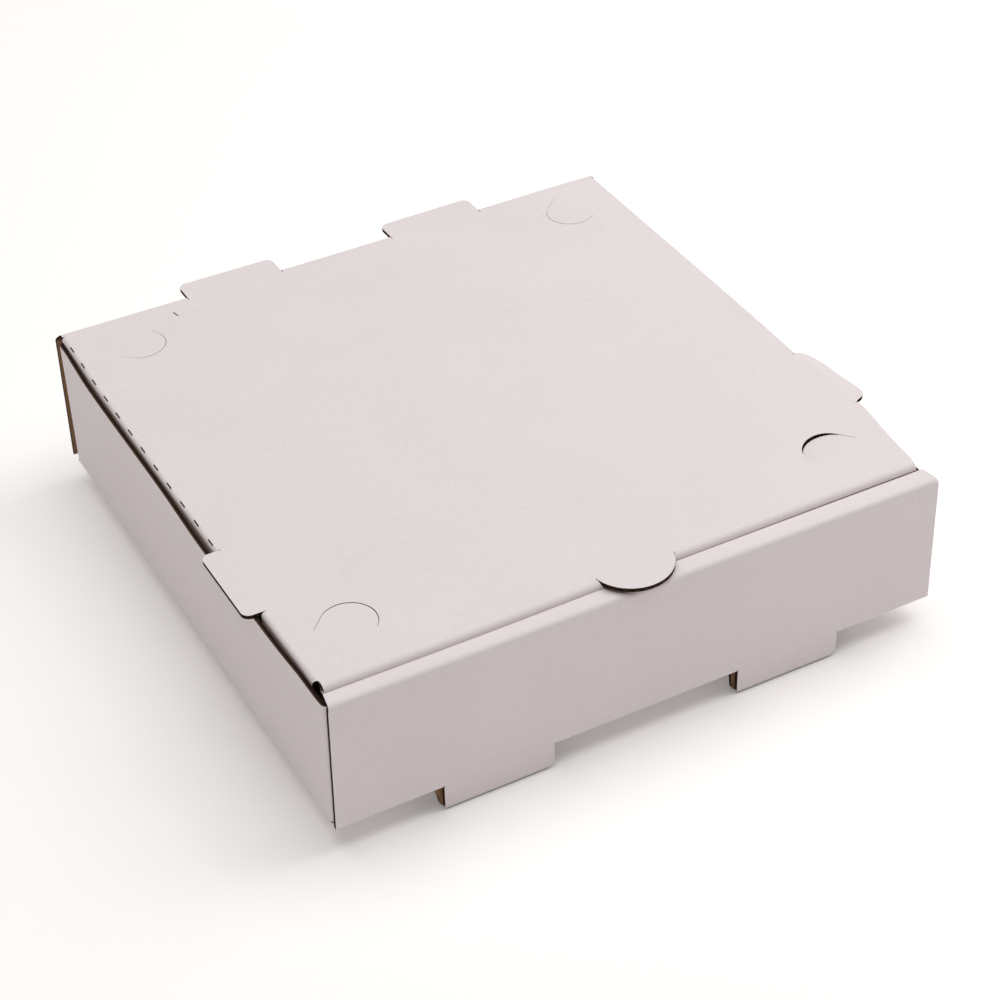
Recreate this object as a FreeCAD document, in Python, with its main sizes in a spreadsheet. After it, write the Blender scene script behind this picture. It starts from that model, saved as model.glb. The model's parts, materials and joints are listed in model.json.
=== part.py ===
import FreeCAD, Part
import os
import re
import Sketcher

# A small corrugated pizza box, shut. It is one die-cut sheet, folded; the lid turns on the
# crease along the top of the rear wall, so the sheet is drawn as two solids, tray and lid.
# Drawing frame: X along the front, Y to the back from the front face, Z up from the
# underside of the floor. Both solids are then moved to the middle of the box's base.

doc = FreeCAD.newDocument("PizzaBox")
sheet = doc.addObject("Spreadsheet::Sheet", "Sizes")
aliases = []


def size(alias, number, note):
    """One driving dimension, in its own row: name, plain number, what it is."""
    aliases.append(alias)
    row = len(aliases)
    sheet.set(f"A{row}", alias)
    sheet.set(f"B{row}", str(number))
    sheet.set(f"C{row}", note)
    sheet.setAlias(f"B{row}", alias)


# the whole box
size("boxWide", 235, "outside width, along the front")
size("boxDeep", 238.5, "outside depth, front face to rear face")
size("wallTall", 53.7, "front wall, underside of the floor to the top of the ledge")
size("board", 1.5, "thickness of the corrugated board")
size("slack", 0.3, "clearance between panels that touch, slide or swing past each other")

# the double front wall: outer panel, ledge on top, roll-over panel behind
size("ledgeDeep", 8.9, "front face to the back of the ledge")
size("lockGap", 1.4, "air between the outer panel and the roll-over panel, at the floor")
size("slotTabWide", 41.6, "tab of the outer panel, cut out of the floor")
size("slotTabSpan", 114.6, "between the middles of the two tabs")
size("slotTabDrop", 8.6, "how far the outer tabs stand below the floor")
size("lockTabWide", 44, "tab of the roll-over panel, pushed through the floor slot")
size("lockTabExtra", 1.0, "how much lower the roll-over tabs reach than the outer ones")
size("cornerRound", 2.0, "rounded corners of the tabs")

# flaps folded in from the side walls
size("dustClear", 8.9, "rear vents to the free ends of the dust flaps")
size("dustFoot", 12, "lower edge of the front dust flaps above the floor's underside")
size("flapTrim", 2, "rear dust flaps stop short of the floor and of the rim by this")
size("rearGap", 2.0, "air between the rear dust flaps and the rear wall")
size("foldLap", 12, "length of side wall that each dust flap's fold is drawn with")

# the lid
size("lidAir", 1.0, "underside of the lid above the ledge")
size("lidSideGap", 0.4, "inside of the side wall to the outside of the lid's side flap")
size("lidGap", 0.4, "back of the ledge to the lid's front fold")
size("frontFlapTall", 40, "lid's front flap, measured from the top of the lid")
size("frontFlapEase", 0.65, "air before the ledge as the front flap's lower edge swings past")
size("sideFlapTall", 44, "lid's side flaps, measured from the top of the lid")
size("sideFlapStart", 3.0, "front fold to the front end of the side flaps")
size("sideFlapStop", 10.5, "rear face of the box to the rear end of the side flaps")
size("sideFlapTaper", 14, "slant at the ends of the side flaps, front")
size("sideFlapRake", 6, "slant at the ends of the side flaps, rear")

# tabs that stay flat with the lid when its flaps are folded down
size("thumbWide", 29, "half-round thumb tab at the front, at its root")
size("thumbLong", 11, "how far the thumb tab stands out from the front fold")
size("sideTabWide", 36.5, "side tabs, along the side")
size("sideTabFrom", 49.5, "front face to the front edge of the side tabs")
size("sideTabLong", 7.2, "side tabs, out from the side fold")
size("rearTabWide", 39.5, "rear tabs, which leave the vents in the rear wall")
size("rearTabSpan", 87.8, "between the middles of the two rear tabs")
size("rearTabLong", 8.7, "rear tabs, out from the rear face")

# vents in the lid: a curved slit round most of a disc, left attached on one side
size("ventRadius", 10.4, "radius of the slit")
size("ventInset", 21, "middle of the disc from the lid's folds")
size("ventKerf", 0.4, "width of the slit")
size("ventSweep", 210, "how much of the circle is cut, in degrees")
size("ventAim", 60, "the middle of the cut, in degrees from the front edge")

# perforated crease between the lid and its side flaps
size("dashLong", 4.3, "one cut of the perforation")
size("dashPitch", 12.2, "from cut to cut")
size("dashWide", 0.7, "width of a cut")
size("dashStart", 5.5, "side tab to the middle of the first cut")
size("dashInset", 0.6, "outside of the side flap to the edge of the cut")

doc.recompute()

# places that several pieces share, as formulas on the sizes
rim = "(wallTall + lidAir - slack)"
lidTop = "(wallTall + lidAir + board)"
lidUnder = "(wallTall + lidAir)"
lidFront = "(ledgeDeep + lidGap)"
hingeY = "(boxDeep - board/2)"
hingeZ = "(wallTall + lidAir + board/2)"
halfBox = "(boxWide/2)"
halfLid = "(boxWide/2 - board - lidSideGap)"
flapBottom = "(wallTall + lidAir + board - sideFlapTall)"
flapFront = "(ledgeDeep + lidGap + sideFlapStart)"
flapRear = "(boxDeep - sideFlapStop)"
sideFront = "(board + slack)"
sideRear = "(boxDeep - board - rearGap)"
lockSetback = "(board + lockGap)"
lockDrop = "(slotTabDrop + lockTabExtra)"
thumbRadius = "((thumbWide^2/4 + thumbLong^2) / (2*thumbLong))"

# the front flap leans back, or its lower edge would meet the ledge as it swings on the hinge
flapKick = "(frontFlapTall^2 / (2*boxDeep) + frontFlapEase)"

PAST = 1.0  # how far a cutting tool runs past the face that it cuts through
ALONG = {
    "X": FreeCAD.Vector(1, 0, 0),
    "Y": FreeCAD.Vector(0, 1, 0),
    "Z": FreeCAD.Vector(0, 0, 1),
}
# a profile drawn out along X is sketched in Y and Z, one along Y in Z and X, one along Z in X and Y
FACING = {
    "X": FreeCAD.Rotation(ALONG["Y"], ALONG["Z"], ALONG["X"]),
    "Y": FreeCAD.Rotation(ALONG["Z"], ALONG["X"], ALONG["Y"]),
    "Z": FreeCAD.Rotation(ALONG["X"], ALONG["Y"], ALONG["Z"]),
}


def tied(formula):
    """The formula with every size name pointed at its cell."""
    return re.sub(r"([A-Za-z]\w+)", r"Sizes.\1", str(formula))


def number(formula):
    return float(sheet.evalExpression(tied(formula)))


def add(kind, name, **formulas):
    """A new object whose properties follow the sheet; lowx stands for Placement.Base.x."""
    thing = doc.addObject(kind, name)
    for key, formula in formulas.items():
        thing.setExpression(key.replace("low", "Placement.Base."), tied(formula))
    return thing


def box(name, lowx, lowy, lowz, long, deep, tall):
    """A box from its lowest corner and its three sides."""
    return add("Part::Box", name, lowx=lowx, lowy=lowy, lowz=lowz, Length=long, Width=deep, Height=tall)


def fuse(name, pieces):
    joined = doc.addObject("Part::MultiFuse", name)
    joined.Shapes = pieces
    joined.Refine = True
    return joined


def cut(name, base, tools):
    """The base less the tools; several tools are joined first."""
    left = doc.addObject("Part::Cut", name)
    left.Base = base
    left.Tool = tools[0] if len(tools) == 1 else fuse(name + "Tools", tools)
    left.Refine = True
    return left


def pair(piece):
    """The piece of the right-hand side and its mirror image on the left."""
    twin = doc.addObject("Part::Mirroring", piece.Name + "Left")
    twin.Source = piece
    twin.Normal = ALONG["X"]
    return [piece, twin]


def lines(name, facing, points, closed=False):
    """A fully constrained chain of straight lines through points given as formulas."""
    sketch = doc.addObject("Sketcher::SketchObject", name)
    sketch.Placement = FreeCAD.Placement(FreeCAD.Vector(), FACING[facing])
    places = [FreeCAD.Vector(number(across), number(up), 0) for across, up in points]
    ends = places[1:] + places[:1] if closed else places[1:]
    for start, end in zip(places, ends):
        sketch.addGeometry(Part.LineSegment(start, end), False)
    for edge in range(1, len(ends)):
        sketch.addConstraint(Sketcher.Constraint("Coincident", edge - 1, 2, edge, 1))
    if closed:
        sketch.addConstraint(Sketcher.Constraint("Coincident", len(ends) - 1, 2, 0, 1))
    for corner, formulas in enumerate(points):
        edge, end = (corner, 1) if corner < len(ends) else (corner - 1, 2)
        for kind, formula in zip(("DistanceX", "DistanceY"), formulas):
            distance = Sketcher.Constraint(kind, -1, 1, edge, end, number(formula))
            index = sketch.addConstraint(distance)
            sketch.setExpression(f"Constraints[{index}]", tied(formula))
    return sketch


def drawn(name, profile, along, start, stop):
    """A flat profile drawn out along an axis, from start to stop."""
    solid = add("Part::Extrusion", name, LengthFwd=stop, LengthRev=f"-1*({start})")
    solid.Base = profile
    solid.DirMode = "Custom"
    solid.Dir = ALONG[along]
    solid.Solid = True
    return solid


def folded(name, points, along, start, stop):
    """A folded strip of board. The points follow its inner face, square at each fold and
    always turning right, and the board lies to their left, so a fold is round outside."""
    board = add("Part::Offset2D", name + "Board", Value="-board")
    board.Source = lines(name + "Path", along, points)
    board.Mode = "Skin"
    board.Join = "Arc"
    board.Fill = True
    return drawn(name, board, along, start, stop)


def roundPlate(name, first, second, along, start, stop):
    """A plate with round corners, from its two spans in the plane and its thickness."""
    (lowFirst, highFirst), (lowSecond, highSecond) = first, second
    corners = []
    for across in (f"({lowFirst}) + cornerRound", f"({highFirst}) - cornerRound"):
        for up in (f"({lowSecond}) + cornerRound", f"({highSecond}) - cornerRound"):
            corners.append((across, up))
    corners[2:] = reversed(corners[2:])
    outline = add("Part::Offset2D", name + "Outline", Value="cornerRound")
    outline.Source = lines(name + "Core", along, corners, True)
    outline.Mode = "Pipe"
    outline.Join = "Arc"
    return drawn(name, outline, along, start, stop)


def drawTray():
    # rear wall, floor, outer front panel, ledge and roll-over panel are one strip
    stripPath = [
        ("boxDeep - board", rim),
        ("boxDeep - board", "board"),
        ("board", "board"),
        ("board", "wallTall - board"),
        ("ledgeDeep - board", "wallTall - board"),
        (lockSetback, "board + slack"),
    ]
    strip = folded("Strip", stripPath, "X", f"-1*{halfBox}", halfBox)

    # only the two outer walls run the full width
    inside = f"{halfBox} - board - slack"
    trimTall = f"{rim} + 2*{PAST}"
    trim = box("StripEnd", inside, "board", -PAST, f"board + slack + {PAST}", "boxDeep - 2*board", trimTall)
    strip = cut("StripTrimmed", strip, pair(trim))

    # floor and side walls
    wall = f"({halfBox} - board)"
    wallPath = [(rim, f"-1*{wall}"), ("board", f"-1*{wall}"), ("board", wall), (rim, wall)]
    frontFace = f"({sideFront} + board)"
    rearFace = f"({sideRear} - board)"
    walls = folded("SideWalls", wallPath, "Y", frontFace, rearFace)

    # the front pair of dust flaps stands inside the double wall, the rear pair by the rear wall
    flapTip = "rearTabSpan/2 + rearTabWide/2 + dustClear"
    frontPath = [(wall, f"{frontFace} + foldLap"), (wall, frontFace), (flapTip, frontFace)]
    rearPath = [(flapTip, rearFace), (wall, rearFace), (wall, f"{rearFace} - foldLap")]
    underLedge = "wallTall - board - slack"
    frontDust = folded("FrontDustFlap", frontPath, "Z", "dustFoot", underLedge)
    rearDust = folded("RearDustFlap", rearPath, "Z", "board + flapTrim", f"{rim} - flapTrim")

    # vents in the rear wall, where the lid's rear tabs were cut out of it
    ventDrop = "(rearTabLong + board/2 + slack)"
    ventLow = f"{hingeZ} - {ventDrop}"
    ventX = "rearTabSpan/2 - rearTabWide/2 - slack"
    ventWide = "rearTabWide + 2*slack"
    ventFront = f"boxDeep - board - {PAST}"
    vent = box("RearVent", ventX, ventFront, ventLow, ventWide, f"board + 2*{PAST}", ventDrop)

    # each floor slot is where an outer tab was cut out, and takes a roll-over tab
    slotX = "slotTabSpan/2 - lockTabWide/2 - slack"
    slotWide = "lockTabWide + 2*slack"
    slotTall = f"board + slack/2 + {PAST}"
    slot = box("FloorSlot", slotX, "board", -PAST, slotWide, "slotTabDrop", slotTall)
    shell = cut("Panels", fuse("PanelsJoined", [strip, walls]), pair(vent) + pair(slot))

    tabAcross = ("slotTabSpan/2 - slotTabWide/2", "slotTabSpan/2 + slotTabWide/2")
    tabUp = ("-slotTabDrop", "board + 2*cornerRound")
    slotTab = roundPlate("SlotTab", tabUp, tabAcross, "Y", 0, "board")

    # the roll-over panel leans, and its tabs carry on in the same plane
    lean = f"((ledgeDeep - board - {lockSetback}) / (wallTall - 2*board - slack))"
    lockTop = "(board + slack)"
    tipShift = f"{lean} * ({lockDrop} + {lockTop})"
    lockOutline = [
        (f"{lockSetback} + {lean}*board", f"{lockTop} + board"),
        (f"{lockSetback} - {tipShift}", f"-1*{lockDrop}"),
        (f"{lockSetback} + board - {tipShift}", f"-1*{lockDrop}"),
        (f"{lockSetback} + board + {lean}*board", f"{lockTop} + board"),
    ]
    lockLow = "slotTabSpan/2 - lockTabWide/2"
    lockHigh = "slotTabSpan/2 + lockTabWide/2"
    lockTab = drawn("LockTab", lines("LockTabOutline", "X", lockOutline, True), "X", lockLow, lockHigh)

    return fuse("Tray", [shell] + pair(frontDust) + pair(rearDust) + pair(slotTab) + pair(lockTab))


def drawLid():
    # the front flap hangs from the lid's plate and leans back, to swing clear of the ledge
    foldY = f"({lidFront} + board)"
    frontPath = [
        (f"{foldY} + {flapKick}", f"{lidTop} - frontFlapTall"),
        (foldY, lidUnder),
        (hingeY, lidUnder),
    ]
    plateSide = f"({halfLid} - board)"
    edge = f"({halfLid} - slack)"
    plate = folded("FrontFlap", frontPath, "X", f"-1*{edge}", edge)
    sideTrim = box("PlateEdge", plateSide, flapFront, lidUnder, "board", "boxDeep", "board")

    # the thumb tab is cut out of the front flap and leaves a half-round notch there
    notchReach = f"{flapKick} + board + {PAST}"
    notchMiddle = f"{hingeZ} - thumbLong + {thumbRadius}"
    notch = add(
        "Part::Cylinder",
        "ThumbNotch",
        Radius=f"{thumbRadius} + slack",
        Height=notchReach,
        lowy=f"{lidFront} + {notchReach}",
        lowz=notchMiddle,
    )
    notch.Placement.Rotation = FreeCAD.Rotation(ALONG["X"], 90)
    below = box("BelowPlate", f"-1*{halfBox}", 0, 0, "boxWide", "boxDeep", lidUnder)
    notchBelow = doc.addObject("Part::Common", "ThumbNotchBelow")
    notchBelow.Base = notch
    notchBelow.Tool = below
    plate = cut("PlateAndFlap", plate, pair(sideTrim) + [notchBelow])
    thumb = add(
        "Part::Cylinder",
        "ThumbTab",
        Radius=thumbRadius,
        Height="board",
        lowy=f"{lidFront} + {thumbRadius} - thumbLong",
        lowz=lidUnder,
    )

    # side flaps, slanted at both ends; behind them the side folds run on to the hinge
    hangPath = [
        (flapBottom, plateSide),
        (lidUnder, plateSide),
        (lidUnder, f"-1*{plateSide}"),
        (flapBottom, f"-1*{plateSide}"),
    ]
    hang = folded("SideFlaps", hangPath, "Y", flapFront, hingeY)
    past = f"{flapBottom} - {PAST}"
    frontSlant = [
        (f"{flapFront} - {PAST}", lidUnder),
        (flapFront, lidUnder),
        (f"{flapFront} + sideFlapTaper", past),
        (f"{flapFront} - {PAST}", past),
    ]
    rearSlant = [
        (flapRear, lidUnder),
        (f"boxDeep + {PAST}", lidUnder),
        (f"boxDeep + {PAST}", past),
        (f"{flapRear} - sideFlapRake", past),
    ]
    slants = []
    for name, outline in (("FrontSlant", frontSlant), ("RearSlant", rearSlant)):
        wedge = lines(name + "Outline", "X", outline, True)
        slants.append(drawn(name, wedge, "X", f"-1*{halfBox}", halfBox))

    # each side tab leaves a notch at the top of its flap
    notchTall = "(sideTabLong - board)"
    sideNotch = box(
        "SideNotch",
        f"{plateSide} - {PAST}",
        "sideTabFrom - slack",
        f"{lidUnder} - {notchTall}",
        f"board + 2*{PAST}",
        "sideTabWide + 2*slack",
        notchTall,
    )
    hang = cut("SideFlapsCut", hang, slants + pair(sideNotch))

    # flat tabs at the sides and the back, and the round edge that the lid turns on
    sideAcross = (f"{plateSide} - 2*cornerRound", f"{halfLid} + sideTabLong")
    sideAlong = ("sideTabFrom", "sideTabFrom + sideTabWide")
    sideTab = roundPlate("SideTab", sideAcross, sideAlong, "Z", lidUnder, lidTop)
    rearAcross = ("rearTabSpan/2 - rearTabWide/2", "rearTabSpan/2 + rearTabWide/2")
    rearAlong = ("boxDeep - board - 2*cornerRound", "boxDeep + rearTabLong")
    rearTab = roundPlate("RearTab", rearAcross, rearAlong, "Z", lidUnder, lidTop)
    place = {"lowx": f"-1*{plateSide}", "lowy": hingeY, "lowz": hingeZ}
    hinge = add("Part::Cylinder", "HingeEdge", Radius="board/2", Height=f"2*{plateSide}", **place)
    hinge.Placement.Rotation = FreeCAD.Rotation(ALONG["Y"], 90)
    joined = fuse("LidJoined", [plate, thumb, hang, hinge] + pair(sideTab) + pair(rearTab))
    return cut("Lid", joined, slits() + dashes())


def slits():
    """Four curved cuts near the corners, each round most of a disc."""
    tools = []
    middleX = f"({halfLid} - ventInset)"
    for middleY, turn in ((f"{lidFront} + ventInset", 1), (f"{hingeY} - ventInset", -1)):
        place = {"lowx": middleX, "lowy": middleY, "lowz": f"{lidUnder} - {PAST}"}
        tall = f"board + 2*{PAST}"
        outer = add("Part::Cylinder", "SlitOuter", Radius="ventRadius + ventKerf/2", Height=tall, **place)
        outer.setExpression("Angle", tied("ventSweep"))
        inner = add("Part::Cylinder", "SlitInner", Radius="ventRadius - ventKerf/2", Height=tall, **place)
        start = number(f"{turn} * (180 - ventAim) - ventSweep/2")
        outer.Placement.Rotation = FreeCAD.Rotation(ALONG["Z"], start)
        tools += pair(cut("Slit", outer, [inner]))
    return tools


def dashes():
    """The perforation of the side creases, from the side tabs back to the hinge."""
    first = "(sideTabFrom + sideTabWide + dashStart)"
    count = int(number(f"({hingeY} - {first}) / dashPitch")) + 1
    tools = []
    for step in range(count):
        lowX = f"{halfLid} - dashInset - dashWide"
        lowY = f"{first} + {step}*dashPitch - dashLong/2"
        tools += pair(box("Dash", lowX, lowY, lidUnder, "dashWide", "dashLong", f"board + {PAST}"))
    return tools


parts = {"tray": drawTray(), "lid": drawLid()}
for label, part in parts.items():
    part.Label = label
    # from the drawing's corner to the middle of the footprint, on the tips of the lock tabs
    part.setExpression("Placement.Base.y", tied(f"-(boxDeep + rearTabLong - thumbLong + {lidFront}) / 2"))
    part.setExpression("Placement.Base.z", tied(lockDrop))

doc.recompute()
for thing in doc.Objects:
    if "Invalid" in thing.State or "Error" in thing.State:
        raise RuntimeError(f"{thing.Name} failed: {thing.State}")
os.makedirs("parts", exist_ok=True)
for label, part in parts.items():
    shape = part.Shape
    if shape.isNull() or not shape.isValid() or len(shape.Solids) != 1:
        raise RuntimeError(f"{label} is not one valid solid")
    shape.exportStep(f"parts/{label}.step")
    print(label, "volume", round(shape.Volume), "mm3,", shape.BoundBox)
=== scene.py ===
import json
import math
import bmesh
import bpy
from mathutils import Matrix, Vector


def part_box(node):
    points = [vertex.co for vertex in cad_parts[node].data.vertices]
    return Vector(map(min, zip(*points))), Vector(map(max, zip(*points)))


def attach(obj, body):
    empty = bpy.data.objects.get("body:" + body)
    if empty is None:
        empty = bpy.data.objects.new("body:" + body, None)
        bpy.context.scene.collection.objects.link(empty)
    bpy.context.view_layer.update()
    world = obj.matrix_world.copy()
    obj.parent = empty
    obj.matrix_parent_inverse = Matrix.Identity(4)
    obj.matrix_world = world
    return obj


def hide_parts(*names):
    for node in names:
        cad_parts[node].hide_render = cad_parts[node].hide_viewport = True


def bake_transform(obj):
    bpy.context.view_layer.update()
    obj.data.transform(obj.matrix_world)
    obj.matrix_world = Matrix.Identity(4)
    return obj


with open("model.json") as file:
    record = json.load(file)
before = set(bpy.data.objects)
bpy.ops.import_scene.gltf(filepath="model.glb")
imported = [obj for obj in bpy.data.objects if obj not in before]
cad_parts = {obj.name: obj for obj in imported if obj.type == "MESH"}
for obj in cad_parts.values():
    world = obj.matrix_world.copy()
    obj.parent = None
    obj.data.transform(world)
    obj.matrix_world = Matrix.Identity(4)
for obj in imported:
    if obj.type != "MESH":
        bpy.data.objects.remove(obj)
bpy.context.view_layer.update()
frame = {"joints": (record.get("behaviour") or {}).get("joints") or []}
trayLow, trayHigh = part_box("tray")
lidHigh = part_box("lid")[1]
hingePoint = Vector(frame["joints"][0]["pos_m"])
mm = 0.001

# the board and how finely the folded sheets are divided; lengths in mm
boardValues = {
    "thick": 1.5,
    "gridPitch": 6.0,
    "foldSteps": 6,
    "guard": 0.8,           # a narrow row each side of a fold keeps the flats flat
    "nearest": 1.2,         # an even division nearer than this to a fixed one is left out
    "flutePitch": 3.2,
    "cornerSteps": 6,
    "slack": 0.05,          # tests of where a point of the blank lies allow this much
    "fine": 0.01,           # or this much beside a crease
    "sharpFrom": 38,        # degrees between faces at a hard edge
    "mapUnit": 100,         # length of board for one unit of its two maps
}

# the box in its own drawing frame: x from the middle, y from the front face, z from under the floor
lift = 9.6                                # lock tabs stand this far below the floor
wide = (trayHigh.x - trayLow.x) / mm
deep = (trayHigh.y - trayLow.y) / mm
rim = trayHigh.z / mm - lift              # top of the side and rear walls
lidTop = lidHigh.z / mm - lift
hingeY = (hingePoint.y - trayLow.y) / mm
toRow = Matrix.Translation((0, trayLow.y, lift * mm)) @ Matrix.Scale(mm, 4)


def roundCorners(corners):
    # corners are (x, y) or (x, y, radius)
    points = []
    for place, (x, y, *radius) in enumerate(corners):
        here = Vector((x, y))
        if not radius:
            points.append(here)
            continue
        back = (Vector(corners[place - 1][:2]) - here).normalized()
        ahead = (Vector(corners[(place + 1) % len(corners)][:2]) - here).normalized()
        half = back.angle(ahead) / 2
        reach = radius[0] / math.tan(half)
        centre = here + (back + ahead).normalized() * radius[0] / math.sin(half)
        first, last = here + back * reach - centre, here + ahead * reach - centre
        steps = boardValues["cornerSteps"]
        for step in range(steps + 1):
            spoke = first.lerp(last, step / steps).normalized()
            points.append(centre + spoke * radius[0])
    return points


def mirrored(right):
    # the right half of an outline, from front to back, and its mirror image
    return right + [(-corner[0], *corner[1:]) for corner in reversed(right)]


def cutBlank(loops):
    # one flat sheet with its holes, as the die cuts it
    bm = bmesh.new()
    for corners in loops:
        ring = [bm.verts.new((x, y, 0)) for x, y in roundCorners(corners)]
        for here, ahead in zip(ring, ring[1:] + ring[:1]):
            bm.edges.new((here, ahead))
    bmesh.ops.triangle_fill(bm, use_beauty=True, edges=bm.edges[:], normal=(0, 0, 1))
    return bm


def scoreBlank(bm, acrossPlaces, alongPlaces):
    # divides the sheet at its folds and at an even pitch, then drops the slanted edges of the fill
    for places, normal in ((acrossPlaces, Vector((1, 0, 0))), (alongPlaces, Vector((0, 1, 0)))):
        for place in sorted(places):
            everything = bm.verts[:] + bm.edges[:] + bm.faces[:]
            bmesh.ops.bisect_plane(
                bm, geom=everything, dist=1e-4, plane_co=normal * place, plane_no=normal
            )
    slanted = []
    for edge in bm.edges:
        run = edge.verts[1].co - edge.verts[0].co
        if len(edge.link_faces) == 2 and min(abs(run.x), abs(run.y)) > 1e-3:
            slanted.append(edge)
    bmesh.ops.dissolve_edges(bm, edges=slanted, use_verts=False)
    idle = [v for v in bm.verts if len(v.link_edges) == 2 and v.calc_edge_angle(1) < 1e-3]
    bmesh.ops.dissolve_verts(bm, verts=idle)
    flat = bm.verts.layers.float_vector.new("flat")
    for v in bm.verts:
        v[flat] = v.co


def foldPlaces(start, toward, length):
    # division lines through a fold, with a guard line each side
    steps = boardValues["foldSteps"]
    places = [start + toward * length * step / steps for step in range(steps + 1)]
    guard = toward * boardValues["guard"]
    return places + [start - guard, places[-1] + guard]


def evenPlaces(low, high):
    count = math.ceil((high - low) / boardValues["gridPitch"])
    return [low + (high - low) * step / count for step in range(1, count)]


def thinOut(even, fixed):
    nearest = boardValues["nearest"]
    return fixed + [place for place in even if min(abs(place - other) for other in fixed) > nearest]


def fold(bm, start, away, up, angle, radius, belongs, stiff=lambda flat: False):
    # turns what lies beyond a crease; away crosses the crease, up is the side it turns to
    layer = bm.verts.layers.float_vector["flat"]
    crease = start * (away.x + away.y)
    for v in bm.verts:
        reach = v[layer].dot(away) - crease
        if not belongs(v[layer]) or (reach < 1e-4 and not stiff(v[layer])):
            continue
        across, height = v.co.dot(away) - crease, v.co.dot(up)
        turned, past = reach / radius, 0
        if turned > angle or stiff(v[layer]):
            turned, past = angle, across - radius * angle
        spoke = away * math.sin(turned) - up * math.cos(turned)
        ahead = away * math.cos(turned) + up * math.sin(turned)
        axis = away * crease + up * radius
        v.co += axis + spoke * (radius - height) + ahead * past - away * (across + crease) - up * height


def smoothStep(value):
    value = min(max(value, 0), 1)
    return value * value * (3 - 2 * value)


def curve(knots, value):
    # a smooth line through the knots, level beyond its ends
    value = min(max(value, knots[0][0]), knots[-1][0])
    place = next(i for i in range(1, len(knots)) if value <= knots[i][0])
    (x0, y0), (x1, y1) = knots[place - 1], knots[place]
    before, after = knots[max(place - 2, 0)], knots[min(place + 1, len(knots) - 1)]
    run, share = x1 - x0, (value - x0) / (x1 - x0)
    slope0 = (y1 - before[1]) / (x1 - before[0]) * run
    slope1 = (after[1] - y0) / (after[0] - x0) * run
    blend = share * share * (3 - 2 * share)
    ease = share * (1 - share)
    return y0 + (y1 - y0) * blend + ease * ((1 - share) * slope0 - share * slope1)


def thicken(piece):
    # gives the sheet its board: white face outside, brown inside, raw edge all round
    board = piece.modifiers.new("board", "SOLIDIFY")
    board.thickness = boardValues["thick"] * mm
    board.offset = -1
    board.use_even_offset = True
    board.use_quality_normals = True
    board.material_offset = 1
    board.material_offset_rim = 2
    outerCount = len(piece.data.vertices)
    whole = piece.evaluated_get(bpy.context.evaluated_depsgraph_get())
    mesh = bpy.data.meshes.new_from_object(whole)
    piece.modifiers.clear()
    piece.data = mesh
    # sheet: where each point lay on the flat board; cut: the same along the flutes' section, and depth
    flat = mesh.attributes["flat"].data
    sheet = mesh.uv_layers.new(name="sheet")
    cut = mesh.uv_layers.new(name="cut")
    unit = boardValues["mapUnit"]
    for loop in mesh.loops:
        spot = flat[loop.vertex_index].vector
        sheet.data[loop.index].uv = (spot.x / unit, spot.y / unit)
        cut.data[loop.index].uv = (spot.x / unit, 0 if loop.vertex_index < outerCount else 1)
    mesh.shade_smooth()
    mesh.set_sharp_from_angle(angle=math.radians(boardValues["sharpFrom"]))


def finishPiece(bm, name, materials):
    mesh = bpy.data.meshes.new(name)
    bm.transform(toRow)
    bm.to_mesh(mesh)
    bm.free()
    piece = bpy.data.objects.new(name, mesh)
    bpy.context.scene.collection.objects.link(piece)
    for material in materials:
        mesh.materials.append(material)
    thicken(piece)
    return piece


# colours are linear; the liners are mottled between their two shades
boardLook = {
    "white": (0.80, 0.728, 0.737),
    "whiteShade": (0.745, 0.675, 0.68),
    "brown": (0.37, 0.22, 0.12),
    "brownDark": (0.24, 0.135, 0.07),
    # the raw edge's paper is kraft brown darkened with painted shade, and its flute hollows are
    # near-black painted shade
    "rawPaperInShade": (0.085, 0.043, 0.026),
    "rawHollowShade": (0.012, 0.007, 0.005),
    "whiteRough": 0.62,
    "brownRough": 0.8,
    "rawRough": 0.9,
    "whiteGloss": 0.3,
    "brownGloss": 0.2,
    "rawGloss": 0.1,
    "washboard": 0.05,      # how much the flutes show through the liners
    "cloudScale": 26,
    "whiteFibre": 1500,
    "fibreStretch": (1, 0.35, 1),
    "speckScale": 620,
    "dimpleScale": 90,
    "streakStretch": (60, 9, 1),
    "brownFibre": 900,
    "rawRagged": 1400,
    "linerBump": 0.0003,
    "rawBump": 0.0005,
}


class Nodes:
    # a short way to write a material's node tree
    def __init__(self, name):
        self.material = bpy.data.materials.new(name)
        self.material.use_nodes = True
        self.tree = self.material.node_tree
        self.shader = self.tree.nodes["Principled BSDF"]

    def add(self, kind, inputs, **settings):
        node = self.tree.nodes.new("ShaderNode" + kind)
        for key, value in settings.items():
            setattr(node, key, value)
        for key, value in inputs.items():
            self.link(value, node.inputs[key])
        return node

    def link(self, value, socket):
        if isinstance(value, bpy.types.NodeSocket):
            self.tree.links.new(value, socket)
        else:
            socket.default_value = value

    def math(self, operation, first, second=0.0, third=0.0):
        return self.add("Math", {0: first, 1: second, 2: third}, operation=operation).outputs[0]

    def mix(self, share, first, second):
        node = self.add("Mix", {"Factor": share}, data_type="RGBA")
        self.link(first, node.inputs[6])        # the colour sockets of the Mix node
        self.link(second, node.inputs[7])
        return node.outputs[2]

    def noise(self, where, scale, detail=3.0, rough=0.55):
        inputs = {"Vector": where, "Scale": scale, "Detail": detail, "Roughness": rough}
        return self.add("TexNoise", inputs).outputs["Fac"]

    def ramp(self, value, low, high):
        inputs = {"Value": value, "From Min": low, "From Max": high}
        return self.add("MapRange", inputs, interpolation_type="SMOOTHSTEP").outputs["Result"]

    def finish(self, paint, height, strength, distance, rough, gloss):
        self.link(paint, self.shader.inputs["Base Color"])
        bump = self.add("Bump", {"Height": height, "Strength": strength, "Distance": distance})
        self.link(bump.outputs[0], self.shader.inputs["Normal"])
        self.shader.inputs["Roughness"].default_value = rough
        self.shader.inputs["Specular IOR Level"].default_value = gloss
        return self.material


def colour(rgb):
    return (*rgb, 1.0)


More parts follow.
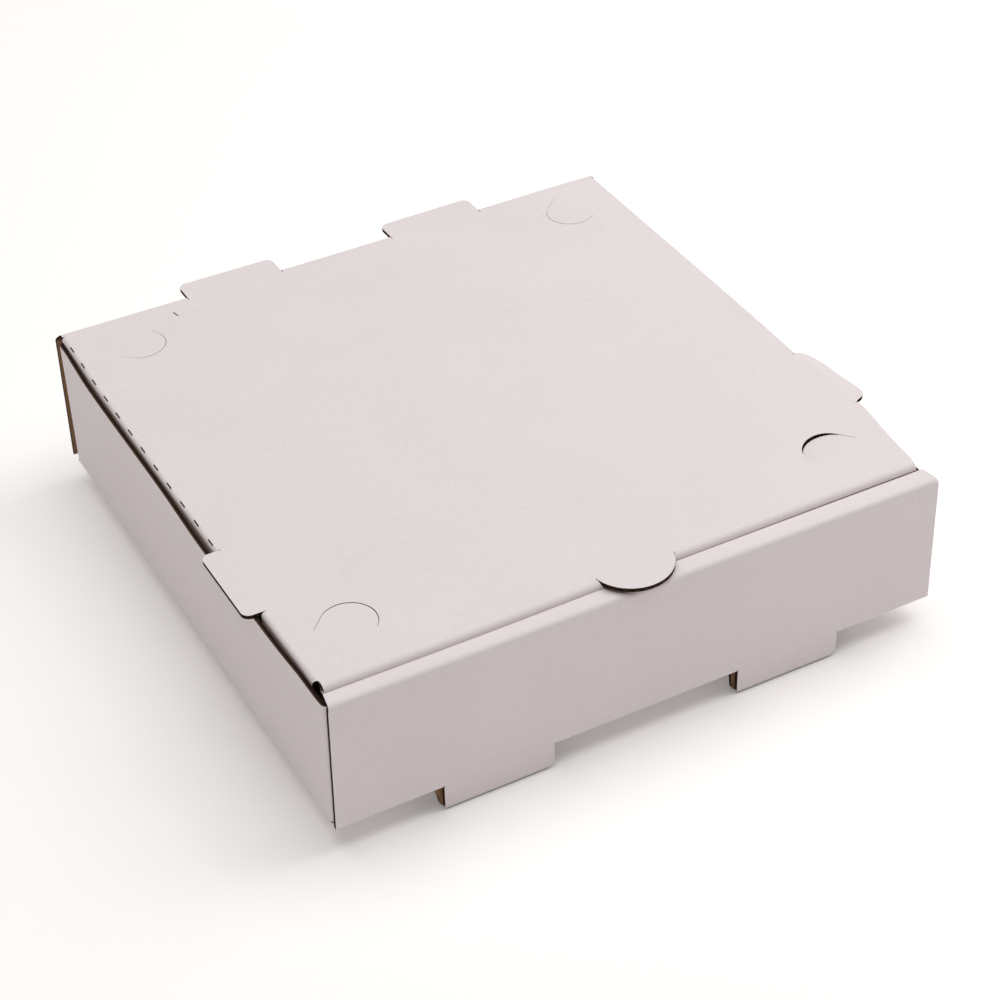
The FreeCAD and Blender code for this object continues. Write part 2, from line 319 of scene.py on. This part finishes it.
def flutes(nodes, sheetMap="sheet"):
    # a wave across the flutes, -1 to 1
    spot = nodes.add("UVMap", {}, uv_map=sheetMap).outputs["UV"]
    across = nodes.add("SeparateXYZ", {"Vector": spot}).outputs
    pace = boardValues["mapUnit"] / boardValues["flutePitch"] * 2 * math.pi
    turns = nodes.math("MULTIPLY", across["X"], pace)
    return nodes.math("SINE", turns), across, spot


def whiteLiner(name):
    look, nodes = boardLook, Nodes(name)
    where = nodes.add("TexCoord", {}).outputs["Object"]
    wave = flutes(nodes)[0]
    cloud = nodes.noise(where, look["cloudScale"], 4)
    stretched = nodes.add("Mapping", {"Vector": where, "Scale": look["fibreStretch"]}).outputs[0]
    fibre = nodes.noise(stretched, look["whiteFibre"], 2)
    speck = nodes.ramp(nodes.noise(where, look["speckScale"], 2), 0.66, 0.76)
    blotch = nodes.math("MULTIPLY_ADD", cloud, 0.25, nodes.math("MULTIPLY", fibre, 0.45))
    share = nodes.math("ADD", nodes.ramp(blotch, 0.2, 0.55), nodes.math("MULTIPLY", speck, 0.3))
    paint = nodes.mix(share, colour(look["white"]), colour(look["whiteShade"]))
    ribs = nodes.math("MULTIPLY", wave, look["washboard"])
    height = nodes.math("ADD", ribs, nodes.math("MULTIPLY", fibre, 0.12))
    dimples = nodes.math("MULTIPLY", nodes.noise(where, look["dimpleScale"], 2), 0.35)
    height = nodes.math("ADD", height, dimples)
    return nodes.finish(paint, height, 0.35, look["linerBump"], look["whiteRough"], look["whiteGloss"])


def brownLiner(name):
    look, nodes = boardLook, Nodes(name)
    where = nodes.add("TexCoord", {}).outputs["Object"]
    wave, across, spot = flutes(nodes)
    stretched = nodes.add("Mapping", {"Vector": spot, "Scale": look["streakStretch"]}).outputs[0]
    streak = nodes.noise(stretched, 4, 5, 0.65)
    fibre = nodes.noise(where, look["brownFibre"], 3, 0.6)
    share = nodes.math("ADD", nodes.math("MULTIPLY", streak, 0.6), nodes.math("MULTIPLY", fibre, 0.5))
    share = nodes.math("ADD", share, nodes.math("MULTIPLY", wave, 0.05))
    mottle = nodes.ramp(share, 0.35, 0.8)
    paint = nodes.mix(mottle, colour(look["brown"]), colour(look["brownDark"]))
    ribs = nodes.math("MULTIPLY", wave, look["washboard"] * 3)
    height = nodes.math("ADD", ribs, nodes.math("MULTIPLY", fibre, 0.2))
    return nodes.finish(paint, height, 0.4, look["linerBump"], look["brownRough"], look["brownGloss"])


def rawEdge(name):
    # the cut edge: two liners, and between them the wave of the fluting with hollows in it; the hollows
    # are near-black painted shade, and the paper is kraft brown darkened with painted shade
    look, nodes = boardLook, Nodes(name)
    where = nodes.add("TexCoord", {}).outputs["Object"]
    wave, across, spot = flutes(nodes, "cut")
    depth = across["Y"]
    ragged = nodes.math("MULTIPLY", nodes.noise(where, look["rawRagged"], 2), 0.16)
    middle = nodes.math("MULTIPLY_ADD", wave, 0.3, 0.42)
    offWave = nodes.math("SUBTRACT", nodes.math("ADD", depth, ragged), middle)
    offWave = nodes.math("ABSOLUTE", offWave)
    onWave = nodes.math("SUBTRACT", 1.0, nodes.ramp(offWave, 0.06, 0.2))
    fromMiddle = nodes.math("ABSOLUTE", nodes.math("SUBTRACT", depth, 0.5))
    onLiner = nodes.ramp(fromMiddle, 0.36, 0.44)
    paper = nodes.math("MAXIMUM", onWave, onLiner)
    # painted shade: near black in the flute hollows, shade-darkened kraft brown on the paper
    paint = nodes.mix(paper, colour(look["rawHollowShade"]), colour(look["rawPaperInShade"]))
    return nodes.finish(paint, paper, 0.8, look["rawBump"], look["rawRough"], look["rawGloss"])


trayValues = {
    "foldRound": 1.9,
    "ledgeTop": 53.7,
    "ledgeDeep": 8.9,
    "rollRound": 1.9,
    "rollFoot": 4.4,        # white face of the roll-over panel, at the floor
    "rollStop": 1.8,        # its lower edge above the floor's underside
    "panelInset": 2.1,      # the roll-over panel stops short of the outer wall
    "ledgeNip": (1.2, 0.7),     # the ledge and the front panel's top are a little narrower
    "ledgeDrop": 1.0,
    "ledgeRound": 3,
    "notchInset": 0.3,
    "slotTab": (36.5, 78.1, 8.6),
    "lockTab": (35.3, 79.8, 9.6),
    "lockTaper": (0.6, 1.2),
    # the lock tab's outer edge: (past its width, height above the floor's underside)
    "lockHeel": ((-0.4, -5.0), (0.6, -2.2), (4.2, -0.2), (5.7, 1.8)),
    "slot": (34.9, 79.7, 10.1),
    "slotSpare": 4.41,      # the slot is longer at the lock tab's heel
    "slotLip": 0.3,
    "kerf": 0.15,
    "tabRound": 2.2,
    "tabSquare": 0.4,
    "sideFront": 1.8,
    "sideRear": 235.0,
    "dustTip": 72.5,
    "frontDust": (12.0, 51.9),
    "rearDust": (3.5, 52.4),
    "dustRelief": (2.0, 2.3),
    "dustTaper": 2,
    "dustRound": 4,
    "rimShare": 0.9,        # how far the rim runs on round the dust flaps' creases
    "stripSpare": 0.5,      # the side walls start this far past the floor's half width
    "vent": (23.9, 63.9, 45.7),
    "ventRound": 1.5,
    "creaseFrom": 53.0,     # where the hinge crease takes over from the rear wall
    "cornerStop": 115.2,    # half the crease's width where it meets the lid
    # how far each side wall bows out at its top, and how far its top dips: (y, amount)
    "leftBow": ((2, 0), (25, 1.6), (50, 2.1), (95, 2.5), (130, 1.8), (200, 1.5), (228, 0.2)),
    "rightBow": (
        (2, -1.1), (10, -1.2), (20, -0.7), (30, 0.3), (40, 1.8), (47, 2.8), (60, 1.6),
        (90, 0.5), (110, 1.0), (140, 1.3), (200, 1.5), (235, 1.5),
    ),
    "leftDip": ((2, 2.2), (8, 2.0), (14, 0.8), (20, 0.0)),
    "rightDip": ((2, 3.8), (14, 3.0), (30, 1.9), (60, 1.9), (90, 1.4), (235, 1.2)),
    "bowPower": 1.5,
    "dipPower": 6,
    # the side walls' rear ends stand forward: amount at the floor, from y, over this length
    "rearGap": (1.8, 200, 35),
    "rearGapEase": 0.7,
}


def makeTray(materials):
    v = trayValues
    radius, half = v["foldRound"], wide / 2
    quarter = radius * math.pi / 2
    lean = math.atan((v["ledgeDeep"] - v["rollFoot"]) / (v["ledgeTop"] - v["rollStop"]))
    rollAngle = math.pi / 2 + lean
    sideCrease = half - radius
    frontCrease, rearCrease = radius, deep - radius
    ledgeCrease = frontCrease - quarter - (v["ledgeTop"] - 2 * radius)
    rollCrease = ledgeCrease - quarter - (v["ledgeDeep"] - v["rollRound"] - radius)
    rollArc = v["rollRound"] * rollAngle
    dustCreases = (v["sideFront"] + radius, v["sideRear"] - radius)

    def sideAt(z):      # across the flat board, for a height on the side wall
        return sideCrease + quarter + z - radius

    def frontAt(z):
        return frontCrease - quarter - (z - radius)

    def rearAt(z):
        return rearCrease + quarter + z - radius

    def rollAt(z):
        down = v["ledgeTop"] - v["rollRound"] * (1 - math.cos(rollAngle)) - z
        return rollCrease - rollArc - down / math.sin(rollAngle)

    dustLong = quarter + sideCrease - v["dustTip"]
    inner = half - v["panelInset"]
    notch = sideCrease - v["notchInset"]
    tabIn, tabOut, tabDrop = v["slotTab"]
    lockIn, lockOut, lockDrop = v["lockTab"]
    slotIn, slotOut, slotDeep = v["slot"]
    ventIn, ventOut, ventLow = v["vent"]
    tip = v["tabRound"]
    lockEnd = rollAt(-lockDrop)
    lockIns, lockOuts = v["lockTaper"]
    ledgeNip, panelNip = v["ledgeNip"]
    dustLow, dustStart = v["dustRelief"]
    taper, bend = v["dustTaper"], v["dustRound"]
    rimEnd = quarter * v["rimShare"]
    right = [
        (lockIn, rollAt(v["rollStop"])),
        (lockIn + lockIns, lockEnd, tip),
        (lockOut - lockOuts, lockEnd, tip),
        *[(lockOut + past, rollAt(z)) for past, z in v["lockHeel"]],
        (inner, rollAt(v["rollStop"])),
        (inner, rollCrease),
        (half - ledgeNip, ledgeCrease - quarter),
        (half - panelNip, ledgeCrease + v["ledgeDrop"], v["ledgeRound"]),
        (half, frontCrease - quarter / 2),
        (notch, frontCrease - quarter / 2),
        (notch, dustCreases[0]),
        (sideAt(dustLow), dustCreases[0]),
        (sideAt(dustStart), dustCreases[0] - quarter),
        (sideAt(v["frontDust"][0]), dustCreases[0] - quarter),
        (sideAt(v["frontDust"][0] + taper), dustCreases[0] - dustLong, bend),
        (sideAt(v["frontDust"][1] - taper), dustCreases[0] - dustLong, bend),
        (sideAt(v["frontDust"][1]), dustCreases[0] - quarter),
        (sideAt(rim), dustCreases[0] - rimEnd),
        (sideAt(rim), dustCreases[1] + rimEnd),
        (sideAt(v["rearDust"][1]), dustCreases[1] + quarter),
        (sideAt(v["rearDust"][1] - taper), dustCreases[1] + dustLong, bend),
        (sideAt(v["rearDust"][0] + taper), dustCreases[1] + dustLong, bend),
        (sideAt(v["rearDust"][0]), dustCreases[1]),
        (notch, dustCreases[1]),
        (notch, rearCrease + quarter / 2),
        (half, rearCrease + quarter / 2),
        (half, rearAt(v["creaseFrom"])),
        (ventOut, rearAt(v["creaseFrom"])),
        (ventOut, rearAt(ventLow), v["ventRound"]),
        (ventIn, rearAt(ventLow), v["ventRound"]),
        (ventIn, rearAt(v["creaseFrom"])),
    ]
    # the outer tabs are cut out of the floor and stay with the front panel; left corners are square
    tabEnd = frontAt(-tabDrop)
    tabRoot = frontAt(radius)
    kerf, square = v["kerf"], v["tabSquare"]
    slotEnd = slotOut + v["slotSpare"]
    slotFront = frontCrease + v["slotLip"]
    slots = []
    for side, outerTip, innerTip in ((1, tip, square), (-1, square, tip)):
        slot = [
            (slotIn, slotDeep),
            (slotEnd, slotDeep),
            (slotEnd, slotFront),
            (tabOut + kerf, slotFront),
            (tabOut + kerf, tabRoot),
            (tabOut, tabRoot),
            (tabOut, tabEnd, outerTip),
            (tabIn, tabEnd, innerTip),
            (tabIn, tabRoot),
            (tabIn - kerf, tabRoot),
            (tabIn - kerf, slotFront),
            (slotIn, slotFront),
        ]
        slots.append([(side * corner[0], *corner[1:]) for corner in slot])
    bm = cutBlank([mirrored(right), *slots])

    across = [0.0]
    for side in (-1, 1):
        across += foldPlaces(side * sideCrease, side, quarter)
    along = foldPlaces(frontCrease, -1, quarter) + foldPlaces(ledgeCrease, -1, quarter)
    along += foldPlaces(rollCrease, -1, rollArc) + foldPlaces(rearCrease, 1, quarter)
    along += foldPlaces(dustCreases[0], -1, quarter) + foldPlaces(dustCreases[1], 1, quarter)
    low, high = min(p.co.y for p in bm.verts), max(p.co.y for p in bm.verts)
    sideReach = sideAt(rim)
    scoreBlank(
        bm,
        thinOut(evenPlaces(-sideReach, sideReach), across),
        thinOut(evenPlaces(low, high), along),
    )
    bmesh.ops.reverse_faces(bm, faces=bm.faces[:])      # the floor's white face looks down

    slack, fine = boardValues["slack"], boardValues["fine"]

    def onSide(flat):
        return abs(flat.x) > half + v["stripSpare"]

    def onStrip(flat):
        return not onSide(flat)

    def isTab(flat):
        inside = tabRoot - fine < flat.y < tabEnd + fine
        return inside and tabIn - slack < abs(flat.x) < tabOut + slack

    def pastSide(flat):
        return dustCreases[0] - fine < flat.y < dustCreases[1] + fine or onSide(flat)

    up = Vector((0, 0, 1))
    front, back = Vector((0, -1, 0)), Vector((0, 1, 0))
    right90 = math.pi / 2
    fold(bm, dustCreases[0], front, up, right90, radius, onSide)
    fold(bm, dustCreases[1], back, up, right90, radius, onSide)
    for side in (-1, 1):
        fold(bm, sideCrease * side, Vector((side, 0, 0)), up, right90, radius, pastSide)
    fold(bm, rollCrease, front, up, rollAngle, v["rollRound"], onStrip)
    fold(bm, ledgeCrease, front, up, right90, radius, onStrip)
    fold(bm, frontCrease, front, up, right90, radius, onStrip, isTab)
    fold(bm, rearCrease, back, up, right90, radius, onStrip)

    # the side walls bow and dip, most at their top
    layer = bm.verts.layers.float_vector["flat"]
    gap, gapFrom, gapLong = v["rearGap"]
    for p in bm.verts:
        if not onSide(p[layer]):
            continue
        rise = min(max(p.co.z / rim, 0), 1)
        side, outward = ("left", -1) if p.co.x < 0 else ("right", 1)
        y = p.co.y
        p.co.x += outward * curve(v[side + "Bow"], y) * rise ** v["bowPower"]
        p.co.z -= curve(v[side + "Dip"], y) * rise ** v["dipPower"]
        p.co.y -= gap * smoothStep((y - gapFrom) / gapLong) * (1 - v["rearGapEase"] * rise)
    piece = finishPiece(bm, "trayBoard", materials)
    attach(piece, "tray")
    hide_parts("tray")
    return piece


lidValues = {
    "foldRound": 2.4,
    "sideBend": 1.6,
    "half": 115.6,
    "front": 7.0,           # the front fold bulges over the tray's ledge
    "frontStep": 2.3,       # and its flap steps back behind the ledge
    "frontSkew": ((-117, -0.7), (-60, -0.6), (0, 0.2), (60, 0.7), (110, 1.0)),
    "frontFlap": 40.0,
    "frontKick": 4.0,
    "frontHalf": 114.2,
    "frontTaper": 2.5,
    "frontRound": 4,
    "frontNotch": (1.3, 0.9),   # behind the fold's ends: depth and radius
    "frontAir": 0.12,       # kept above the ledge
    "skewTo": (45, 35),     # the skew fades out before this y, over this length
    "sideFlap": 44.0,
    "sideFrom": 12.3,
    "sideSlant": 14.0,
    "sideTo": 228.0,
    "sideRake": 6.0,
    "sideRound": 3,
    "sideStart": 1.0,       # the side folds start this far behind the front fold
    "thumbRadius": 15.06,
    "thumbLong": 9.3,
    "thumbRoots": (0.6, -0.5),  # where its cut starts and ends behind the fold
    "thumbSteps": 36,
    "sideTab": (49.5, 86.0, 7.2),
    "rearTab": (24.15, 63.65, 8.7),
    "tabRound": 3.0,
    "tabGap": 0.3,
    "tabRoot": 0.6,
    "tabCut": (0.15, 1.4, 0.25),    # the opening beside a side tab: front root, front end, rear
    "rearNip": 0.3,
    "creaseTo": 235.3,      # where the hinge crease takes over from the lid
    # vent slits: centre x, y, direction faced, which end has a straight tail, tail length, width
    "slits": (
        (-93.3, 31.3, 45, 1, 7.0, 0.36),
        (91.3, 30.4, 135, -1, 8.0, 0.5),
        (-91.0, 215.9, -45, -1, 4.0, 0.2),
        (93.6, 216.0, -135, -1, 9.0, 0.2),
    ),
    "slitRadius": 9.2,
    "slitSteps": 24,
    "slitEnds": (0.3, 2.5),     # share of the width at an end, and how fast it grows
    "nick": ((-72.7, 230.0), (-72.2, 230.2), (-71.5, 227.0), (-71.9, 226.8)),
    "dashFrom": 91.5,
    "dashPitch": 12.2,
    "dashLong": 4.0,
    "dashWide": 0.5,
    "dashPlace": {-1: 0.55, 1: 1.0},    # past the crease, left and right
    # how far the lid's side edges stand out, and how far its right side is raised: (y, amount)
    "leftOut": (
        (8, 0.8), (25, 1.3), (50, 1.6), (92, 1.8), (140, 1.6), (200, 1.2), (220, 0.6), (236, 0.3),
    ),
    "rightOut": (
        (8, -1.4), (20, -0.6), (30, 0.5), (40, 2.0), (46.5, 2.8), (60, 2.0), (86, 0.8),
        (110, 1.2), (140, 1.5), (200, 1.7), (236, 1.8),
    ),
    "outPower": 1.5,
    "rightRaise": 1.5,
    "raiseFrom": (-20, 130),    # x where it starts, and the length it takes
    "raiseRear": 236,
    "discSink": 1.3,        # the right front disc is pressed in
    "discTilt": (-0.707, 0.707),
    "discFrom": (-5, 15),
    "tabTuck": 2.2,
    "tuckTo": (58, 8),
    "tabHold": (2, 5),
    "curlPower": 1.5,
    "tabCurl": ((50, 0.0), (56, 0.1), (68, 1.5), (77, 2.1), (86, 3.6)),
}


def slitLoop(x, y, faced, tailEnd, tail, wide):
    # a half circle that faces one way, with a straight tail from one of its ends
    count = lidValues["slitSteps"]
    here, radius = Vector((x, y)), lidValues["slitRadius"]
    spine = []
    for step in range(count + 1):
        angle = math.radians(faced + 90 - 180 * step / count)
        spine.append((here, Vector((math.cos(angle), math.sin(angle)))))
    back = -Vector((math.cos(math.radians(faced)), math.sin(math.radians(faced))))
    if tailEnd > 0:
        spine.insert(0, (here + back * tail, spine[0][1]))
    else:
        spine.append((here + back * tail, spine[-1][1]))
    last = len(spine) - 1
    outside, inside = [], []
    narrow, grow = lidValues["slitEnds"]
    for place, (centre, spoke) in enumerate(spine):
        half = wide / 2 * min(1, narrow + grow * min(place, last - place) / last)
        outside.append(tuple(centre + spoke * (radius + half)))
        inside.append(tuple(centre + spoke * (radius - half)))
    return outside + inside[::-1]


def lidShape(point, reach, past=None):
    # the closed lid is not quite true: its side edges stand out and its right side is raised
    v = lidValues
    side = smoothStep((abs(point.x) - v["half"] / 2) / (v["half"] / 2))
    knots, outward = (v["leftOut"], -1) if point.x < 0 else (v["rightOut"], 1)
    raiseFrom, raiseLong = v["raiseFrom"]
    along = min(max(point.y / v["raiseRear"], 0), 1)
    raised = v["rightRaise"] * smoothStep((point.x - raiseFrom) / raiseLong) * along
    rise = min(max(point.z / lidTop, 0), 1) ** v["outPower"]
    if past is not None and past < 1:
        point.z = max(point.z, trayValues["ledgeTop"] + v["frontAir"])
    if past is not None and past > boardValues["fine"]:
        point.y += v["frontStep"]
    else:
        skewTo, skewLong = v["skewTo"]
        point.y += curve(v["frontSkew"], point.x) * smoothStep((skewTo - point.y) / skewLong)
    point.x += outward * curve(knots, point.y) * side * reach * rise
    point.z += raised * reach


def makeLid(materials):
    v = lidValues
    radius, half = v["foldRound"], v["half"]
    sideRadius = v["sideBend"]
    sideQuarter = sideRadius * math.pi / 2
    sideCrease = half - sideRadius
    frontCrease = v["front"] + radius
    frontAngle = math.pi / 2 + math.atan(v["frontKick"] / (v["frontFlap"] - radius))
    frontArc = radius * frontAngle
    flapRun = (v["frontFlap"] - radius * (1 - math.cos(frontAngle))) / math.sin(frontAngle)
    flapEnd = frontCrease - frontArc - flapRun

    def sideAt(drop):
        return sideCrease + sideQuarter + drop - sideRadius

    tabFrom, tabTo, tabLong = v["sideTab"]
    rearIn, rearOut, rearLong = v["rearTab"]
    tip, gap = v["tabRound"], v["tabGap"]
    notch, notchRound = v["frontNotch"]
    right = [
        (v["frontHalf"] - v["frontTaper"], flapEnd, v["frontRound"]),
        (v["frontHalf"], frontCrease - frontArc),
        (v["frontHalf"], frontCrease + notch, notchRound),
        (sideAt(sideRadius), v["sideFrom"]),
        (sideAt(v["sideFlap"]), v["sideFrom"] + v["sideSlant"], v["sideRound"]),
        (sideAt(v["sideFlap"]), v["sideTo"] - v["sideRake"], v["sideRound"]),
        (sideAt(sideRadius), v["sideTo"]),
        (sideAt(sideRadius), v["creaseTo"] - v["rearNip"]),
        (sideCrease, v["creaseTo"]),
        (rearOut, v["creaseTo"]),
        (rearOut, deep + rearLong, tip),
        (rearIn, deep + rearLong, tip),
        (rearIn, v["creaseTo"]),
    ]
    loops = [mirrored(right)]
    # side tabs: cut out of the side flaps, flat with the lid
    tabEdge = half + tabLong
    root = sideCrease - v["tabRoot"]
    rootCut, endCut, rearCut = v["tabCut"]
    sideCut = [
        (root, tabFrom - rootCut),
        (tabEdge + gap, tabFrom - endCut),
        (tabEdge + gap, tabTo + rearCut),
        (root, tabTo + rearCut),
        (root, tabTo),
        (tabEdge, tabTo, tip),
        (tabEdge, tabFrom, tip),
        (root, tabFrom),
    ]
    loops += [sideCut, [(-corner[0], *corner[1:]) for corner in sideCut]]
    # thumb tab: a round cut in the front flap
    middleY = v["front"] + v["thumbRadius"] - v["thumbLong"]
    leftRoot, rightRoot = [frontCrease + past for past in v["thumbRoots"]]
    count = v["thumbSteps"]
    thumbCut = []
    for grow, turns in ((gap, range(count + 1)), (0.0, reversed(range(count + 1)))):
        reach = v["thumbRadius"] + grow
        first = math.pi - math.asin((leftRoot - middleY) / reach)
        last = 2 * math.pi + math.asin((rightRoot - middleY) / reach)
        for step in turns:
            angle = first + (last - first) * step / count
            thumbCut.append((reach * math.cos(angle), middleY + reach * math.sin(angle)))
    loops.append(thumbCut)
    # vent slits and the perforated side creases
    loops += [slitLoop(*slit) for slit in v["slits"]]
    loops.append(v["nick"])
    dashes = []
    place = v["dashFrom"]
    while place < hingeY - v["dashPitch"] / 2:
        dashes.append(place)
        place += v["dashPitch"]
    for middle in dashes:
        for side in (-1, 1):
            near = side * (sideCrease + v["dashPlace"][side])
            far = near + side * v["dashWide"]
            low, high = middle - v["dashLong"] / 2, middle + v["dashLong"] / 2
            loops.append([(near, low), (far, low), (far, high), (near, high)])
    bm = cutBlank(loops)

    across = [0.0]
    for side in (-1, 1):
        across += foldPlaces(side * sideCrease, side, sideQuarter)
        across.append(side * (sideCrease + v["dashPlace"][side] + v["dashWide"] / 2))
    along = foldPlaces(frontCrease, -1, frontArc) + dashes
    sideReach = sideAt(v["sideFlap"])
    scoreBlank(
        bm,
        thinOut(evenPlaces(-sideReach, sideReach), across),
        thinOut(evenPlaces(flapEnd, deep + rearLong), along),
    )

    slack = boardValues["slack"]

    def isThumb(flat):
        return math.hypot(flat.x, flat.y - middleY) < v["thumbRadius"] + slack

    def isSideTab(flat):
        inside = tabFrom - slack < flat.y < tabTo + slack
        return inside and abs(flat.x) < tabEdge + slack

    def onFront(flat):
        return abs(flat.x) < v["frontHalf"] + 2 * slack and not isThumb(flat)

    def onSides(flat):
        return flat.y > frontCrease + v["sideStart"] and not isSideTab(flat)

    down = Vector((0, 0, -1))
    fold(bm, frontCrease, Vector((0, -1, 0)), down, frontAngle, radius, onFront)
    for side in (-1, 1):
        fold(bm, sideCrease * side, Vector((side, 0, 0)), down, math.pi / 2, sideRadius, onSides)
    for p in bm.verts:
        p.co.z += lidTop

    layer = bm.verts.layers.float_vector["flat"]
    disc, tilt = Vector(v["slits"][1][:2]), Vector(v["discTilt"])
    discFrom, discLong = v["discFrom"]
    tuckTo, tuckLong = v["tuckTo"]
    hold, ease = v["tabHold"]
    for p in bm.verts:
        flat = p[layer]
        # the right side tab curls down toward the back
        if flat.x > half and isSideTab(flat):
            share = (flat.x - half) / tabLong
            p.co.z -= curve(v["tabCurl"], flat.y) * share ** v["curlPower"]
            p.co.y += v["tabTuck"] * share * smoothStep((tuckTo - flat.y) / tuckLong)
        # a side tab's own edge stays where it was cut
        if isSideTab(flat) and abs(flat.x) > half - hold:
            knots, outward = (v["leftOut"], -1) if flat.x < 0 else (v["rightOut"], 1)
            share = smoothStep((abs(flat.x) - half + hold) / ease)
            p.co.x -= outward * curve(knots, flat.y) * share
        # the disc inside the right front slit is pressed in a little
        spot = flat.xy - disc
        if spot.length < v["slitRadius"]:
            p.co.z -= v["discSink"] * smoothStep((spot.dot(tilt) - discFrom) / discLong)
        onFlap = flat.y < frontCrease and onFront(flat)
        lidShape(p.co, 1, frontCrease - frontArc - flat.y if onFlap else None)
    piece = finishPiece(bm, "lidBoard", materials)
    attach(piece, "lid")
    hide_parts("lid")
    return piece


# the fold between the rear wall and the lid, in three lengths between the rear tabs
creaseValues = {
    "bend": 2.0,            # radius of its outer face
    "bendSteps": 8,
    "flatRows": (0.4, 0.8),     # narrow rows at both ends keep them in line with the panels
    "taperPower": 2,
    "turnLine": 0.04,       # the board turns over this far past the hinge line
    "turnWidth": 0.002,
}


def makeCreases(materials):
    c = creaseValues
    radius, steps = c["bend"], c["bendSteps"]
    ventIn, ventOut, ventLow = trayValues["vent"]
    end = wide / 2
    taper = (end - trayValues["cornerStop"]) / (end - ventOut)
    spans = {
        "creaseLeft": (-end, -ventOut),
        "creaseMiddle": (-ventIn, ventIn),
        "creaseRight": (ventOut, end),
    }
    low, far = trayValues["creaseFrom"], lidValues["creaseTo"]
    for name, (first, last) in spans.items():
        rows = [(deep, low + more) for more in (0, *c["flatRows"])]
        for step in range(steps + 1):
            angle = math.radians(90) * step / steps
            y = deep - radius + radius * math.cos(angle)
            rows.append((y, lidTop - radius + radius * math.sin(angle)))
        rows += [(far + more, lidTop) for more in (*reversed(c["flatRows"]), 0)]
        bm = bmesh.new()
        count = max(2, round((last - first) / boardValues["gridPitch"]))
        bmesh.ops.create_grid(bm, x_segments=count, y_segments=len(rows) - 1, size=1)
        for place, p in enumerate(bm.verts):
            row, column = divmod(place, count + 1)
            p.co = (first + (last - first) * column / count, *rows[row])
        bm.normal_update()
        flat = bm.verts.layers.float_vector.new("flat")
        for p in bm.verts:
            p[flat] = (p.co.x, p.co.y + p.co.z, 0)
            share = smoothStep((p.co.z - low) / (lidTop - low))
            past = abs(p.co.x) - ventOut
            if past > 0:
                p.co.x -= math.copysign(past * taper * share ** c["taperPower"], p.co.x)
            lidShape(p.co, share)
        top = max(bm.faces, key=lambda face: face.calc_center_median().z)
        if top.normal.z < 0:
            bmesh.ops.reverse_faces(bm, faces=bm.faces[:])
        piece = finishPiece(bm, name, materials)
        turn, step = c["turnLine"], c["turnWidth"]
        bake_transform(piece)


studioValues = {
    "floorSize": 6,
    "floorColour": (0.97, 0.95, 0.935),
    "floorRough": 0.9,
    "floorGlow": 0.11,
    "skyColour": (1, 0.98, 0.96),
    "sky": 0.28,
    # round lamps: place, target, size, power
    "lamps": {
        "overhead": ((0.1, 0.3, 3.0), (0, 0, 0.05), 3.4, 56.5),
        "fillRight": ((0.9, -0.1, 1.05), (0, 0, 0.04), 1.0, 6.0),
    },
}


def makeStudio():
    v = studioValues
    mesh = bpy.data.meshes.new("floor")
    bm = bmesh.new()
    bmesh.ops.create_grid(bm, x_segments=1, y_segments=1, size=v["floorSize"])
    bm.to_mesh(mesh)
    bm.free()
    floor = bpy.data.objects.new("floor", mesh)
    bpy.context.scene.collection.objects.link(floor)
    nodes = Nodes("paleFloor")
    inputs = nodes.shader.inputs
    inputs["Base Color"].default_value = colour(v["floorColour"])
    inputs["Roughness"].default_value = v["floorRough"]
    inputs["Specular IOR Level"].default_value = 0.1
    inputs["Emission Color"].default_value = (1, 1, 1, 1)
    inputs["Emission Strength"].default_value = v["floorGlow"]
    mesh.materials.append(nodes.material)

    world = bpy.data.worlds.new("studio")
    world.use_nodes = True
    sky = world.node_tree.nodes["Background"].inputs
    sky["Color"].default_value = colour(v["skyColour"])
    sky["Strength"].default_value = v["sky"]
    bpy.context.scene.world = world
    for name, (spot, target, size, power) in v["lamps"].items():
        light = bpy.data.lights.new(name, "AREA")
        light.shape = "DISK"
        light.size = size
        light.energy = power
        lamp = bpy.data.objects.new(name, light)
        lamp.location = spot
        aim = Vector(target) - Vector(spot)
        lamp.rotation_euler = aim.to_track_quat("-Z", "Y").to_euler()
        bpy.context.scene.collection.objects.link(lamp)
    bpy.context.scene.view_settings.view_transform = "Standard"


# angles in degrees, and the camera's place in the box's drawing frame, in metres
cameraValues = {
    "azimuth": -27.86,
    "elevation": 37.21,
    "roll": -1.449,
    "lens": 85.97,
    "eye": (-0.32496, -0.51105, 0.54928),
}


def makeCamera():
    v = cameraValues
    lens = bpy.data.cameras.new("camera")
    lens.lens = v["lens"]
    lens.sensor_width = 36
    lens.clip_start = 0.05
    lens.clip_end = 20
    camera = bpy.data.objects.new("camera", lens)
    turn, tilt = math.radians(v["azimuth"]), math.radians(v["elevation"])
    level = math.cos(tilt)
    back = Vector((math.sin(turn) * level, -math.cos(turn) * level, math.sin(tilt)))
    look = (-back).to_track_quat("-Z", "Y").to_matrix()
    roll = Matrix.Rotation(math.radians(v["roll"]), 3, "Z")
    camera.rotation_mode = "QUATERNION"
    camera.rotation_quaternion = (look @ roll).to_quaternion()
    camera.location = Vector(v["eye"]) + toRow.translation
    bpy.context.scene.collection.objects.link(camera)
    bpy.context.scene.camera = camera


materials = [whiteLiner("whiteLiner"), brownLiner("brownLiner"), rawEdge("rawEdge")]
print("materials made")
makeTray(materials)
print("tray folded")
makeLid(materials)
print("lid folded")
makeCreases(materials)
print("hinge creases made")
makeStudio()
makeCamera()
print("studio and camera set")
